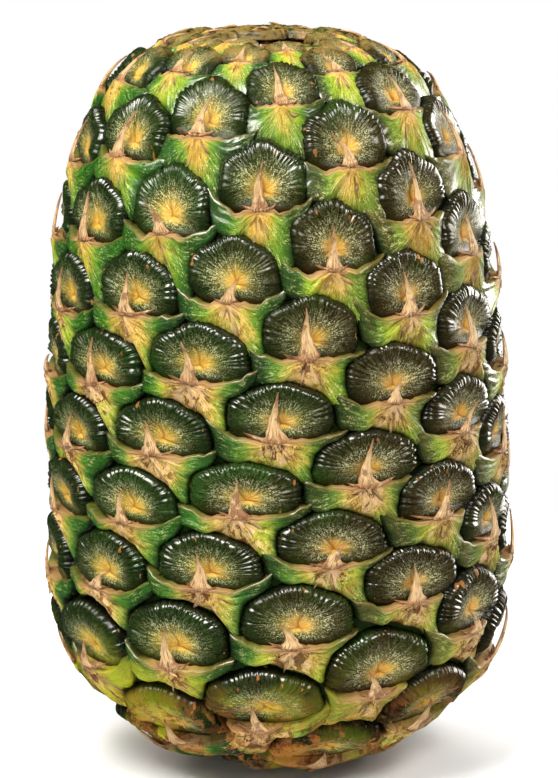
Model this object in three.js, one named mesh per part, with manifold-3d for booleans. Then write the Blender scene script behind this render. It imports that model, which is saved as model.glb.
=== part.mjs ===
// A pineapple without its crown: a barrel-shaped fruit covered in spiralling eyes.
// Each eye is a cushion of sepals over a leathery bract, whose dry tip stands up in front of the cushion.
// Millimetres, +Z up. The fruit stands on the cut face of its stem, which is centred on the origin.
import * as THREE from "three";
import { ConvexHull } from "three/addons/math/ConvexHull.js";
import { mergeVertices } from "three/addons/utils/BufferGeometryUtils.js";
import Module from "manifold-3d";

// The barrel, measured at the grooves between the eyes.
const BARREL_RADIUS = 57.5;
const TOP_Z = 194.8;
const WIDEST_Z = 51;
const FOOT_Z = 2;
const SHOULDER_POWER = 3.4;
const FOOT_POWER = 2.02;

// The spiral of eyes. Eye 0 is the lowest, and the front eye faces the viewer at half height.
const DIVERGENCE = THREE.MathUtils.degToRad(137.752);
const EYE_AREA = 560;
const EYE_PHASE = 0.7;
const FRONT_EYE = 67;
const FRONT_AZIMUTH = THREE.MathUtils.degToRad(-0.4);
const SMALLEST_SHARE = 0.22;
const FOOT_TAPER = 31;
const CROWN_TAPER = 40;

// Eyes are larger in the fruit's lower part, which ends at this arc length from the stem.
const LOWER_GROWTH = 0.5;
const LOWER_END = 110;
const LOWER_FADE = 70;

// The fruit grew a little crooked: its top leans to the left, the spiral sags at the front and to the right,
// and the eyes crowd together at the upper front.
const TOP_LEAN = 3.4;
const SAG_FRONT = 9.8;
const SAG_RIGHT = 2;
const CROWDING = 0.15;
const CROWDING_Z = { from: 86, to: 146 };

// The sepal cushion, in the tangent plane of its eye: u to the right, v up, from the root of the bract's tip.
const CUSHION = { u: 1.2, v: 6.2, halfWidth: 12.9, above: 8.4, below: 7.2, height: 4.5 };

// The bract: a low pyramid whose apex carries the tip, with an arm to each side and a keel that runs down.
const BRACT_APEX = { u: 0, v: 0, height: 5.4 };
const ARM_LEFT = { u: -16.2, v: 3.6, height: 1.8 };
const ARM_RIGHT = { u: 16.2, v: 3.6, height: 2.2 };
const KEEL_END = { u: 4.9, v: -15.6, height: 1.2 };

// The dry tip of the bract, which lies on the cushion as a sharp ridge.
const TIP = { length: 9.5, halfWidth: 2.8, height: 1.6, lean: 2.4 };
const TIP_SEED = 20;

// The scars of crown and stem.
const CROWN_SCAR = { radius: 15, depth: 4.5, wall: 3.5 };
const STEM = { radius: 13, height: 14, sides: 20 };

// Rings of sample points on the scars, each given as [distance from the pole, count].
const STEM_RINGS = [[1, 3], [7, 7]];
const CROWN_RINGS = [[1, 3], [6, 7], [11, 11], [15, 15]];

// Steps of the profile, and the share of a right angle where it ends, just short of the poles.
const PROFILE_STEPS = 2400;
const PROFILE_END = 0.9999;

// The farthest that an eye of full size reaches, and the least distance between sample points.
const EYE_REACH = 30;
const CLOSEST = 0.9;

// Angles round a cushion between which its groove and rim are sampled.
const RIM_FROM = -12;
const RIM_TO = 192;

const wasm = await Module();
wasm.setup();

// Smooth step from 0 to 1.
const ease = (x) => THREE.MathUtils.smoothstep(x, 0, 1);

// Rows of the barrel's profile from the stem's pole to the crown's pole. Each has the arc length s, the
// radius r, the height z, the count of eyes below it, and its latitude on the sphere that the barrel maps to
// without shear.
function makeProfile() {
  const rows = [];
  for (let i = 0; i <= PROFILE_STEPS; i++) {
    const a = Math.PI * (i / PROFILE_STEPS - 0.5) * PROFILE_END;
    const power = 2 / (a > 0 ? SHOULDER_POWER : FOOT_POWER);
    const rise = a > 0 ? TOP_Z - WIDEST_Z : FOOT_Z - WIDEST_Z;
    rows.push({
      r: BARREL_RADIUS * Math.cos(a) ** power,
      z: WIDEST_Z + rise * Math.abs(Math.sin(a)) ** power,
      above: a > 0,
    });
  }
  rows[0].s = rows[0].r;
  rows[0].stretch = 0;
  rows.slice(1).forEach((row, i) => {
    const last = rows[i];
    row.ds = Math.hypot(row.r - last.r, row.z - last.z);
    row.s = last.s + row.ds;
    row.stretch = last.stretch + (2 * row.ds) / (row.r + last.r);
  });
  const middle = rows.find((row) => row.above).stretch;
  const end = rows.at(-1).s + rows.at(-1).r;
  let eyes = 0;
  for (const row of rows) {
    row.latitude = 2 * Math.atan(Math.exp(row.stretch - middle)) - Math.PI / 2;
    row.share = eyeShare(row.s, end);
    if (row.share > 0 && row.ds) eyes += (2 * Math.PI * row.r * row.ds) / (EYE_AREA * row.share);
    row.eyes = eyes;
  }
  return rows;
}

// How large an eye is at arc length s, as a share of EYE_AREA. It is zero on the scars.
function eyeShare(s, end) {
  const fromStem = s - STEM.radius - 2;
  const fromCrown = end - s - CROWN_SCAR.radius;
  if (fromStem < 0 || fromCrown < 0) return 0;
  const grown = ease(Math.min(fromStem / FOOT_TAPER, fromCrown / CROWN_TAPER));
  const full = 1 + LOWER_GROWTH * ease((LOWER_END - s) / LOWER_FADE);
  return SMALLEST_SHARE + (full - SMALLEST_SHARE) * grown;
}

// The profile's values where its key, such as "s" or "eyes", reaches value.
function profileAt(key, value) {
  let low = 0;
  let high = profile.length - 1;
  while (high - low > 1) {
    const mid = (low + high) >> 1;
    if (profile[mid][key] > value) high = mid;
    else low = mid;
  }
  const a = profile[low];
  const b = profile[high];
  const t = THREE.MathUtils.clamp((value - a[key]) / (b[key] - a[key] || 1), 0, 1);
  const mix = (name) => a[name] + t * (b[name] - a[name]);
  const along = { r: (b.r - a.r) / (b.s - a.s), z: (b.z - a.z) / (b.s - a.s) };
  return { s: mix("s"), r: mix("r"), z: mix("z"), latitude: mix("latitude"), share: mix("share"), along };
}

// A place on the barrel, with its axes: right round the fruit, up along the profile, and out.
function placeAt(azimuth, row) {
  const [sin, cos] = [Math.sin(azimuth), Math.cos(azimuth)];
  return {
    azimuth,
    row,
    point: new THREE.Vector3(row.r * sin, -row.r * cos, row.z),
    right: new THREE.Vector3(cos, sin, 0),
    up: new THREE.Vector3(row.along.r * sin, -row.along.r * cos, row.along.z).normalize(),
    out: new THREE.Vector3(row.along.z * sin, -row.along.z * cos, -row.along.r).normalize(),
  };
}

// The place on the barrel nearest to a point.
function nearestPlace(point) {
  const radius = Math.hypot(point.x, point.y);
  let best = profile[0];
  let bestGap = Infinity;
  for (const row of profile) {
    const gap = (row.r - radius) ** 2 + (row.z - point.z) ** 2;
    if (gap < bestGap) [best, bestGap] = [row, gap];
  }
  return placeAt(Math.atan2(point.x, -point.y), profileAt("s", best.s));
}

// Seeded random numbers from 0 to 1, by a linear congruential generator.
function randomFrom(seed) {
  let state = seed;
  return () => (state = (state * 1664525 + 1013904223) % 4294967296) / 4294967296;
}

// All eyes, from the lowest up. Small eyes near the scars are the same eye scaled down. Where the barrel
// narrows an eye keeps its area but gets narrower and longer. No two tips are alike.
function makeEyes() {
  const random = randomFrom(TIP_SEED);
  const eyes = [];
  for (let i = 0; i + EYE_PHASE < profile.at(-1).eyes; i++) {
    const even = profileAt("eyes", i + EYE_PHASE);
    const azimuth = FRONT_AZIMUTH - (i - FRONT_EYE) * DIVERGENCE;
    const sag = SAG_FRONT * Math.cos(azimuth) + SAG_RIGHT * Math.sin(azimuth);
    const row = profileAt("s", even.s - (sag * even.r) / BARREL_RADIUS);
    const crowding = CROWDING * ease((row.z - CROWDING_Z.from) / (CROWDING_Z.to - CROWDING_Z.from));
    const size = Math.sqrt(even.share);
    const narrow = THREE.MathUtils.clamp(row.r / BARREL_RADIUS / size, 0.9, 1.1);
    const across = size * narrow * (1 - crowding * Math.cos(azimuth));
    const tip = {
      length: TIP.length * (0.75 + 0.4 * random()),
      height: TIP.height * (0.6 + 0.8 * random()),
      lean: TIP.lean * (2 * random() - 1),
    };
    const place = placeAt(azimuth - crowding * Math.sin(azimuth), row);
    eyes.push({ ...place, size, across, upward: even.share / across, tall: Math.min(size, 1.1), tip });
  }
  return eyes;
}

function cushionHeight(u, v) {
  const du = (u - CUSHION.u) / CUSHION.halfWidth;
  const dv = (v - CUSHION.v) / (v > CUSHION.v ? CUSHION.above : CUSHION.below);
  const fromMiddle = Math.min(1, Math.hypot(du, dv));
  return CUSHION.height * (1 - fromMiddle ** 6) ** 0.6;
}

// Height of the bract's plane through its apex, one arm's end and the keel's end.
function bractSide(u, v, arm) {
  const span = arm.u * KEEL_END.v - arm.v * KEEL_END.u;
  const onArm = (u * KEEL_END.v - v * KEEL_END.u) / span;
  const onKeel = (arm.u * v - arm.v * u) / span;
  if (onArm < 0 || onKeel < 0) return 0;
  const fall = onArm * (BRACT_APEX.height - arm.height) + onKeel * (BRACT_APEX.height - KEEL_END.height);
  return Math.max(0, BRACT_APEX.height - fall);
}

// Height of a dry tip above the cushion under it: full along its midline, none at its edges.
function tipHeight(u, v, tip) {
  const along = v / tip.length;
  if (along < 0 || along > 1.05) return 0;
  const aside = Math.abs(u - tip.lean * along ** 2) / (TIP.halfWidth * (1.1 - along));
  return tip.height * ease(along / 0.4) * Math.max(0, 1 - aside);
}

// How far the fruit's surface stands out of the barrel at a place.
function relief(place) {
  const fromCrown = profile.at(-1).s - place.row.s;
  let height = -CROWN_SCAR.depth * ease((CROWN_SCAR.radius - fromCrown) / CROWN_SCAR.wall);
  for (const eye of eyes) {
    const gap = place.point.clone().sub(eye.point);
    if (gap.length() > EYE_REACH * eye.size) continue;
    const u = gap.dot(eye.right) / eye.across;
    const v = gap.dot(eye.up) / eye.upward;
    const own = Math.max(cushionHeight(u, v), bractSide(u, v, ARM_LEFT), bractSide(u, v, ARM_RIGHT));
    height = Math.max(height, (own + tipHeight(u, v, eye.tip)) * eye.tall);
  }
  return height;
}

// Points (u, v) on an arc round the cushion, at a share of its outline's size.
function cushionArc(share, count, from, to) {
  return Array.from({ length: count }, (_, i) => {
    const angle = THREE.MathUtils.degToRad(from + ((to - from) * i) / (count - 1));
    const reach = Math.sin(angle) > 0 ? CUSHION.above : CUSHION.below;
    const u = CUSHION.u + share * CUSHION.halfWidth * Math.cos(angle);
    return [u, CUSHION.v + share * reach * Math.sin(angle)];
  });
}

// A point (u, v) on the line between two of the bract's corners, moved up or down by lift.
const between = (a, b, t, lift = 0) => [a.u + t * (b.u - a.u), a.v + t * (b.v - a.v) + lift];

// Points (u, v) down the midline of a tip and its edges.
function tipPoints({ length, lean }) {
  return [
    [-TIP.halfWidth, 0.6],
    [TIP.halfWidth, 0.6],
    [lean * 0.25 - 0.6 * TIP.halfWidth, 0.5 * length],
    [lean * 0.25, 0.5 * length],
    [lean * 0.25 + 0.6 * TIP.halfWidth, 0.5 * length],
    [lean, length],
    [lean, length + 1.2],
  ];
}

// Where one eye's surface is sampled: the groove, the crimped rim, the tip and the bract's edges and keel.
function eyePoints({ size, tip }) {
  const round = size > 0.7 ? 9 : 6;
  return [
    ...tipPoints(tip),
    ...cushionArc(1.09, round, RIM_FROM, RIM_TO),
    ...cushionArc(0.88, round, RIM_FROM, RIM_TO),
    ...cushionArc(0.5, 4, -5, 185),
    between(BRACT_APEX, ARM_LEFT, 0.45, 1),
    between(BRACT_APEX, ARM_RIGHT, 0.45, 1),
    between(BRACT_APEX, ARM_LEFT, 0, -0.2),
    between(BRACT_APEX, ARM_LEFT, 0.45, -0.2),
    between(BRACT_APEX, ARM_RIGHT, 0.45, -0.2),
    between(BRACT_APEX, ARM_LEFT, 0.93, -0.2),
    between(BRACT_APEX, ARM_RIGHT, 0.93, -0.2),
    between(BRACT_APEX, KEEL_END, 0.35),
    between(BRACT_APEX, KEEL_END, 0.7),
    between(BRACT_APEX, KEEL_END, 1),
    between(ARM_LEFT, KEEL_END, 0.45),
    between(ARM_RIGHT, KEEL_END, 0.45),
  ];
}

// Rings of places round a pole, whose arc lengths follow from their distances by toArc.
function poleRings(rings, toArc) {
  return rings.flatMap(([distance, count]) =>
    Array.from({ length: count }, (_, i) =>
      placeAt((2 * Math.PI * (i + 0.5 * (distance % 2))) / count, profileAt("s", toArc(distance))),
    ),
  );
}

// The fruit's skin. The sample points go to a sphere, where their convex hull joins neighbours with
// triangles, and each point then goes to its own place on the fruit.
function makeSkin() {
  const end = profile.at(-1).s;
  const places = [
    ...poleRings(STEM_RINGS, (distance) => distance),
    ...poleRings(CROWN_RINGS, (distance) => end - distance),
  ];
  for (const eye of eyes) {
    for (const [u, v] of eyePoints(eye)) {
      const point = eye.point.clone().addScaledVector(eye.right, u * eye.across);
      places.push(nearestPlace(point.addScaledVector(eye.up, v * eye.upward)));
    }
  }
  const placeOf = new Map();
  for (const place of places) {
    const near = (other) => other.point.distanceTo(place.point) < CLOSEST;
    if ([...placeOf.values()].some(near)) continue;
    const flat = Math.cos(place.row.latitude);
    const [x, y] = [flat * Math.sin(place.azimuth), -flat * Math.cos(place.azimuth)];
    placeOf.set(new THREE.Vector3(x, y, Math.sin(place.row.latitude)), place);
  }
  const raised = (place) => place.point.clone().addScaledVector(place.out, relief(place)).toArray();
  const cornerOf = new Map([...placeOf].map(([onSphere, place]) => [onSphere, raised(place)]));
  const corners = [];
  for (const face of new ConvexHull().setFromPoints([...placeOf.keys()]).faces) {
    let edge = face.edge;
    do {
      corners.push(...cornerOf.get(edge.head().point));
      edge = edge.next;
    } while (edge !== face.edge);
  }
  return new THREE.BufferGeometry().setAttribute("position", new THREE.Float32BufferAttribute(corners, 3));
}

// A closed geometry as a solid that can be joined and cut.
function toSolid(geometry) {
  const bare = geometry.clone();
  bare.deleteAttribute("normal");
  bare.deleteAttribute("uv");
  const merged = mergeVertices(bare, 1e-4);
  return new wasm.Manifold(
    new wasm.Mesh({
      numProp: 3,
      vertProperties: merged.attributes.position.array,
      triVerts: new Uint32Array(merged.index.array),
    }),
  );
}

function toGeometry(solid) {
  const { vertProperties, triVerts } = solid.getMesh();
  return new THREE.BufferGeometry()
    .setAttribute("position", new THREE.BufferAttribute(vertProperties, 3))
    .setIndex(new THREE.BufferAttribute(triVerts, 1));
}

// The stub of the stem, sunk into the fruit, with its cut face at the origin.
function makeStem() {
  const stem = new THREE.CylinderGeometry(STEM.radius, STEM.radius, STEM.height, STEM.sides);
  return stem.rotateX(Math.PI / 2).translate(0, 0, STEM.height / 2);
}

// What lies under the surface that the fruit stands on.
function makeGround() {
  const side = 4 * BARREL_RADIUS;
  return new THREE.BoxGeometry(side, side, side).translate(0, 0, -side / 2);
}

const profile = makeProfile();
const eyes = makeEyes();
const fruit = toSolid(makeSkin())
  .warp((point) => (point[0] -= TOP_LEAN * (point[2] / TOP_Z) ** 2))
  .add(toSolid(makeStem()))
  .subtract(toSolid(makeGround()));

const rind = new THREE.MeshStandardMaterial({ color: 0x5f6a24, roughness: 0.5, metalness: 0 });
const pineapple = new THREE.Mesh(toGeometry(fruit), rind);
pineapple.name = "pineapple";

const group = new THREE.Group();
group.add(pineapple);
export default group;
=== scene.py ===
"""A pineapple without its crown, standing on the cut face of its stem. Metres, +Z up.

The barrel and the spiral of eyes repeat the values of the CAD model. Each eye is a crimped cushion of
sepals, a leathery bract round its lower side and the bract's dry tip.
"""
import math

import bpy
import numpy as np
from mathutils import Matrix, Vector


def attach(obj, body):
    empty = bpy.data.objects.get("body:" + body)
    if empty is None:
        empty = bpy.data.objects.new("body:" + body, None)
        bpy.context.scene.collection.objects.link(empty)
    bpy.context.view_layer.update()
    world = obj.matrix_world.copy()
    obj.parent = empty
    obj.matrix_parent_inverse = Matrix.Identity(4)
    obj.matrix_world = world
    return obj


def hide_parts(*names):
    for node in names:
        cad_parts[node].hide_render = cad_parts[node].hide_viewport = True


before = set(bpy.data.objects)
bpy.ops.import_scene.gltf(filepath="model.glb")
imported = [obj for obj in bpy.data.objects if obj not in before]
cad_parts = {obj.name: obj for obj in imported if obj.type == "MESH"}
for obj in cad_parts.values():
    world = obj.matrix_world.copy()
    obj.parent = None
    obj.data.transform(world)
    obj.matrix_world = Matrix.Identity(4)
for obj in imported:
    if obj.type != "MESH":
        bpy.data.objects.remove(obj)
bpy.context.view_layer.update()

NODE = "pineapple"
MM = 0.001

# The barrel at the grooves between the eyes, in millimetres as in the CAD model.
BARREL_RADIUS = 57.5
TOP_Z = 194.8
WIDEST_Z = 51.0
FOOT_Z = 2.0
SHOULDER_POWER = 3.4
FOOT_POWER = 2.02

# The spiral of eyes.
DIVERGENCE = math.radians(137.752)
EYE_AREA = 560.0
EYE_PHASE = 0.7
FRONT_EYE = 67
FRONT_AZIMUTH = math.radians(-0.4)
SMALLEST_SHARE = 0.22
FOOT_TAPER = 31.0
CROWN_TAPER = 40.0
LOWER_GROWTH = 0.5
LOWER_END = 110.0
LOWER_FADE = 70.0
TOP_LEAN = 3.4
SAG_FRONT = 9.8
SAG_RIGHT = 2.0
CROWDING = 0.15
CROWDING_FROM = 86.0
CROWDING_TO = 146.0

# The sepal cushion of an eye: u to the right and v up from the root of the bract's tip.
CUSHION_U = 1.4
CUSHION_V = 4.6
CUSHION_HALF = 15.0
CUSHION_ABOVE = 10.3
CUSHION_BELOW = 5.4
CUSHION_HEIGHT = 4.5
CREST = 0.775
PIT_U = 1.6
PIT_V = 4.1

BRACT_HEIGHT = 5.2
ARM_REACH = 19.0
ARM_RISE_LEFT = 4.6
ARM_RISE_RIGHT = 3.2
ARM_STRAIGHT = 7.0
BRACT_OVERLAP = 0.95
KEEL_ANGLE = math.radians(287.0)

SCAR_RADIUS = 15.0
SCAR_DEPTH = 4.5
STEM_RADIUS = 13.0
STEM_MARGIN = 2.0
SEED = 11

# How finely the barrel's profile is sampled, and how a point's nearest sample is searched.
PROFILE_STEPS = 3000
PROFILE_END = 0.9999
SEARCH_REACH = 50.0
SEARCH_STEP = 6


def ease(x):
    x = np.clip(x, 0.0, 1.0)
    return x * x * (3 - 2 * x)


# The barrel's profile

def make_profile():
    a = np.pi * (np.arange(PROFILE_STEPS + 1) / PROFILE_STEPS - 0.5) * PROFILE_END
    power = 2 / np.where(a > 0, SHOULDER_POWER, FOOT_POWER)
    rise = np.where(a > 0, TOP_Z - WIDEST_Z, FOOT_Z - WIDEST_Z)
    r = BARREL_RADIUS * np.cos(a) ** power
    z = WIDEST_Z + rise * np.abs(np.sin(a)) ** power
    ds = np.hypot(np.diff(r), np.diff(z))
    s = np.concatenate([[0], np.cumsum(ds)]) + r[0]
    end = s[-1] + r[-1]
    from_stem = s - STEM_RADIUS - STEM_MARGIN
    from_crown = end - s - SCAR_RADIUS
    full = 1 + LOWER_GROWTH * ease((LOWER_END - s) / LOWER_FADE)
    grown = ease(np.minimum(from_stem / FOOT_TAPER, from_crown / CROWN_TAPER))
    share = SMALLEST_SHARE + (full - SMALLEST_SHARE) * grown
    eyed = (from_stem >= 0) & (from_crown >= 0)
    per_step = np.where(eyed[1:], 2 * np.pi * r[1:] * ds / (EYE_AREA * share[1:]), 0)
    tangent = np.column_stack([np.gradient(r, s), np.gradient(z, s)])
    tangent /= np.linalg.norm(tangent, axis=1)[:, None]
    return {"s": s, "r": r, "z": z, "share": share, "tangent": tangent,
            "eyes": np.concatenate([[0], np.cumsum(per_step)])}


PROFILE = make_profile()
ARC_END = PROFILE["s"][-1]


def at_arc(s):
    """Radius, height and tangent of the profile at arc lengths s."""
    return [np.interp(s, PROFILE["s"], row) for row in (PROFILE["r"], PROFILE["z"], *PROFILE["tangent"].T)]


def axes_at(azimuth, tr, tz):
    """The directions up the profile and out of the barrel."""
    sin, cos = np.sin(azimuth), np.cos(azimuth)
    up = np.stack([tr * sin, -tr * cos, tz + 0 * sin], axis=-1)
    out = np.stack([tz * sin, -tz * cos, -tr + 0 * sin], axis=-1)
    return up, out


def turned_to(azimuth, r, z):
    """Points at a radius and a height, turned round the axis."""
    return np.stack([r * np.sin(azimuth), -r * np.cos(azimuth), z + 0 * azimuth], axis=-1)


def raised(azimuth, s, height):
    """Points at a height above the barrel, leaned as the whole fruit leans, kept above the floor."""
    r, z, tr, tz = at_arc(s)
    points = turned_to(azimuth, r, z) + axes_at(azimuth, tr, tz)[1] * np.asarray(height)[..., None]
    points[..., 0] -= TOP_LEAN * (points[..., 2] / TOP_Z) ** 2
    points[..., 2] = np.maximum(points[..., 2], 0.0)
    return points * MM


def on_barrel(eye, u, v):
    """Azimuth and arc length of the barrel's point nearest to (u, v) in an eye's tangent plane."""
    u, v = np.broadcast_arrays(np.asarray(u, float), np.asarray(v, float))
    p = eye["point"] + u[..., None] * eye["across"] * eye["right"]
    p = p + v[..., None] * eye["upward"] * eye["up"]
    rho = np.hypot(p[..., 0], p[..., 1])
    near = np.abs(PROFILE["s"] - eye["s"]) < SEARCH_REACH
    rows = np.flatnonzero(near)[::SEARCH_STEP]
    pr, pz = PROFILE["r"][rows], PROFILE["z"][rows]
    gap = (rho.ravel()[:, None] - pr) ** 2 + (p[..., 2].ravel()[:, None] - pz) ** 2
    best = rows[np.argmin(gap, axis=1)].reshape(rho.shape)
    t = PROFILE["tangent"][best]
    along = (rho - PROFILE["r"][best]) * t[..., 0] + (p[..., 2] - PROFILE["z"][best]) * t[..., 1]
    s = np.clip(PROFILE["s"][best] + along, PROFILE["s"][0], ARC_END)
    return np.arctan2(p[..., 0], -p[..., 1]), s


# The eyes

NARROWEST = 0.9
WIDEST = 1.1
TALLEST = 1.1
POINTED = 0.032
POINTED_MORE = 0.025
POINTED_FROM = 70.0
POINTED_OVER = 90.0
OUTLINE_WOBBLE = 0.05
OUTLINE_PEAKS = 6
RANDOMS = 24
RANDOM_SHIFT = 6.3
NEIGHBOURS = 14

# A point this far behind an eye's plane is on the barrel's other side, so it isn't in the eye's cushion.
BEHIND = -25.0
NOT_IN = 9.0


def make_eyes():
    rng = np.random.default_rng(SEED)
    eyes = []
    for i in range(math.ceil(PROFILE["eyes"][-1] - EYE_PHASE)):
        rows = (PROFILE[key] for key in ("s", "share", "r"))
        even_s, share, even_r = (float(np.interp(i + EYE_PHASE, PROFILE["eyes"], row)) for row in rows)
        azimuth = FRONT_AZIMUTH - (i - FRONT_EYE) * DIVERGENCE
        sag = SAG_FRONT * math.cos(azimuth) + SAG_RIGHT * math.sin(azimuth)
        s = even_s - sag * even_r / BARREL_RADIUS
        r, z, tr, tz = (float(x) for x in at_arc(s))
        crowding = CROWDING * float(ease((z - CROWDING_FROM) / (CROWDING_TO - CROWDING_FROM)))
        size = math.sqrt(share)
        narrow = min(WIDEST, max(NARROWEST, r / BARREL_RADIUS / size))
        across = size * narrow * (1 - crowding * math.cos(azimuth))
        azimuth -= crowding * math.sin(azimuth)
        up, out = axes_at(azimuth, tr, tz)
        random = rng.random(RANDOMS)
        eyes.append({
            "index": i,
            "s": s,
            "size": size,
            "across": across,
            "upward": share / across,
            "tall": min(size, TALLEST),
            "point": np.array([r * math.sin(azimuth), -r * math.cos(azimuth), z]),
            "right": np.array([math.cos(azimuth), math.sin(azimuth), 0.0]),
            "up": up,
            "out": out,
            "pointed": POINTED + POINTED_MORE * float(ease((z - POINTED_FROM) / POINTED_OVER)),
            "random": random,
            "shift": RANDOM_SHIFT * random,
        })
    return eyes


EYES = make_eyes()
for eye in EYES:
    gaps = [np.linalg.norm(other["point"] - eye["point"]) for other in EYES]
    eye["near"] = [EYES[i] for i in np.argsort(gaps)[1:NEIGHBOURS + 1]]


def wobble(angle, random, amounts=(0.5, 0.3, 0.2), first=2):
    """A smooth wave round a circle, from -1 to 1."""
    total = 0.0
    for i, amount in enumerate(amounts):
        total = total + amount * np.sin((first + i) * angle + 2 * np.pi * random[i])
    return total


def outline_share(angle, eye):
    """How far the cushion's outline stands out or in at an angle, as a factor on its ellipse."""
    n = 2.1 + 0.9 * ease(-2 * np.sin(angle))
    corner = (np.abs(np.cos(angle)) ** n + np.abs(np.sin(angle)) ** n) ** (-1 / n)
    peaks = np.cos(OUTLINE_PEAKS * (angle - math.radians(90))) * ease(1.5 * np.sin(angle) + 0.3)
    return corner * (1 + OUTLINE_WOBBLE * wobble(angle, eye["random"][0:3]) + eye["pointed"] * peaks)


def cushion_uv(eye, angle, f):
    reach = np.where(np.sin(angle) > 0, CUSHION_ABOVE, CUSHION_BELOW)
    k = f * outline_share(angle, eye)
    inward = np.clip(1 - f, 0, 1) ** 1.5
    middle_u = CUSHION_U + (PIT_U - CUSHION_U) * inward
    middle_v = CUSHION_V + (PIT_V - CUSHION_V) * inward
    return middle_u + k * CUSHION_HALF * np.cos(angle), middle_v + k * reach * np.sin(angle)


def cushion_f(other, azimuth, s):
    """Where barrel points lie in another eye's cushion: 0 at its middle and 1 on its outline."""
    r, z, _, _ = at_arc(s)
    p = turned_to(azimuth, r, z) - other["point"]
    u = p @ other["right"] / other["across"] - CUSHION_U
    v = p @ other["up"] / other["upward"] - CUSHION_V
    reach = np.where(v > 0, CUSHION_ABOVE, CUSHION_BELOW)
    angle = np.arctan2(v / reach, u / CUSHION_HALF)
    f = np.hypot(u / CUSHION_HALF, v / reach) / outline_share(angle, other)
    return np.where(p @ other["out"] < BEHIND, NOT_IN, f)


# Mesh helpers

def add_object(name, data):
    thing = bpy.data.objects.new(name, data)
    bpy.context.scene.collection.objects.link(thing)
    return thing


class Piece:
    """Collects patches of points and faces, with attributes for the materials."""

    def __init__(self, name):
        self.name = name
        self.points, self.faces, self.values = [], [], {}
        self.count = 0

    def add(self, points, faces, values=()):
        points = points.reshape(-1, 3)
        self.points.append(points)
        self.faces.append(np.asarray(faces, dtype=np.int64) + self.count)
        for key, value in dict(values).items():
            self.values.setdefault(key, []).append(np.asarray(value, float).reshape(len(points), -1))
        self.count += len(points)

    def build(self, material, slot):
        points = np.concatenate(self.points)
        faces = np.concatenate(self.faces)
        mesh = bpy.data.meshes.new(self.name)
        mesh.vertices.add(len(points))
        mesh.vertices.foreach_set("co", points.ravel())
        mesh.loops.add(len(faces) * 3)
        mesh.loops.foreach_set("vertex_index", faces.ravel())
        mesh.polygons.add(len(faces))
        mesh.polygons.foreach_set("loop_start", np.arange(0, len(faces) * 3, 3))
        mesh.polygons.foreach_set("use_smooth", np.full(len(faces), True))
        for key, value in self.values.items():
            value = np.concatenate(value)
            kind = "FLOAT" if value.shape[1] == 1 else "FLOAT_VECTOR"
            attribute = mesh.attributes.new(key, kind, "POINT")
            attribute.data.foreach_set("value" if kind == "FLOAT" else "vector", value.ravel())
        mesh.update(calc_edges=True)
        mesh.validate()
        mesh.materials.append(material)
        piece = add_object(self.name, mesh)
        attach(piece, "root")
        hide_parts(NODE)


def quads(index):
    """Triangles of a grid of vertex numbers, facing out where rows go down and columns to the right."""
    a, b = index[:-1, :-1], index[:-1, 1:]
    c, d = index[1:, 1:], index[1:, :-1]
    lower = np.stack([a, d, c], axis=-1).reshape(-1, 3)
    upper = np.stack([a, c, b], axis=-1).reshape(-1, 3)
    both = np.concatenate([lower, upper])
    distinct = (both[:, 0] != both[:, 1]) & (both[:, 1] != both[:, 2]) & (both[:, 2] != both[:, 0])
    return both[distinct]


def closed_grid(first, rows, columns):
    """A grid of vertex numbers whose last column is the first one again."""
    index = first + np.arange(rows * columns).reshape(rows, columns)
    return np.concatenate([index, index[:, :1]], axis=1)


def fan(starts, ends, middle):
    """Triangles from edges to one point."""
    return np.stack([starts, ends, np.full(len(starts), middle)], axis=-1)


def tube(rings):
    """Points and faces of a closed skin through rings of points, capped at both ends at the ring's middle."""
    count, columns = rings.shape[:2]
    index = closed_grid(0, count, columns)
    faces = np.concatenate([
        quads(index[::-1]),
        fan(index[0, 1:], index[0, :-1], count * columns),
        fan(index[-1, :-1], index[-1, 1:], count * columns + 1),
    ])
    return np.concatenate([rings.reshape(-1, 3), [rings[0].mean(0)], [rings[-1].mean(0)]]), faces


def ring_grid(steps, sides):
    """Steps along a blade and clockwise angles round it."""
    return np.meshgrid(steps, np.radians(np.arange(360, 0, -360 // sides)), indexing="ij")


# Cushions

CRIMPED_FROM = math.radians(-24)
CRIMPED_TO = math.radians(204)
CRIMPS = 24
FEWEST_CRIMPS = 0.45
MOST_CRIMPS = 1.1
CRIMP_STEPS = 5
CRIMP_HEIGHT = 1.05
CRIMP_OUTWARD = 0.028
INNER_CRIMP = 0.2
RIM_SAMPLES = 400
UNDER_COLUMNS = 24
OUTER_RINGS = (0.58, 0.645, 0.705, 0.76, 0.815, 0.87, 0.92, 0.965, 1.0, 1.035)
INNER_RINGS = (0.5, 0.41, 0.32, 0.235, 0.155, 0.08)
BOWL_DEPTH = 2.6
PIT_H = 1.6
UNDERSIDE_H = -2.5

# Each crease's middle and spread in degrees and its strength.
CREASES = ((84, 24, 0.8), (236, 12, 0.6), (304, 16, 0.9))
CREASE_HALF = 0.55
CREASE_DEPTH = 0.45


def cushion_angles(eye, crimps):
    """Angles counterclockwise from just below the right end: even steps along the rim, dense over the top."""
    fine = np.linspace(CRIMPED_FROM, CRIMPED_TO, RIM_SAMPLES)
    u, v = cushion_uv(eye, fine, 0.85)
    length = np.concatenate([[0], np.cumsum(np.hypot(np.diff(u), np.diff(v)))])
    turn = np.linspace(0, 1, crimps * CRIMP_STEPS + 1)
    top = np.interp(turn, length / length[-1], fine)
    rest = UNDER_COLUMNS + (-crimps * CRIMP_STEPS) % 3
    under = np.linspace(CRIMPED_TO, CRIMPED_FROM + 2 * np.pi, rest + 1)[1:-1]
    return np.concatenate([top, under]), np.concatenate([turn, np.full(len(under), 2.0)])


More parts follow.
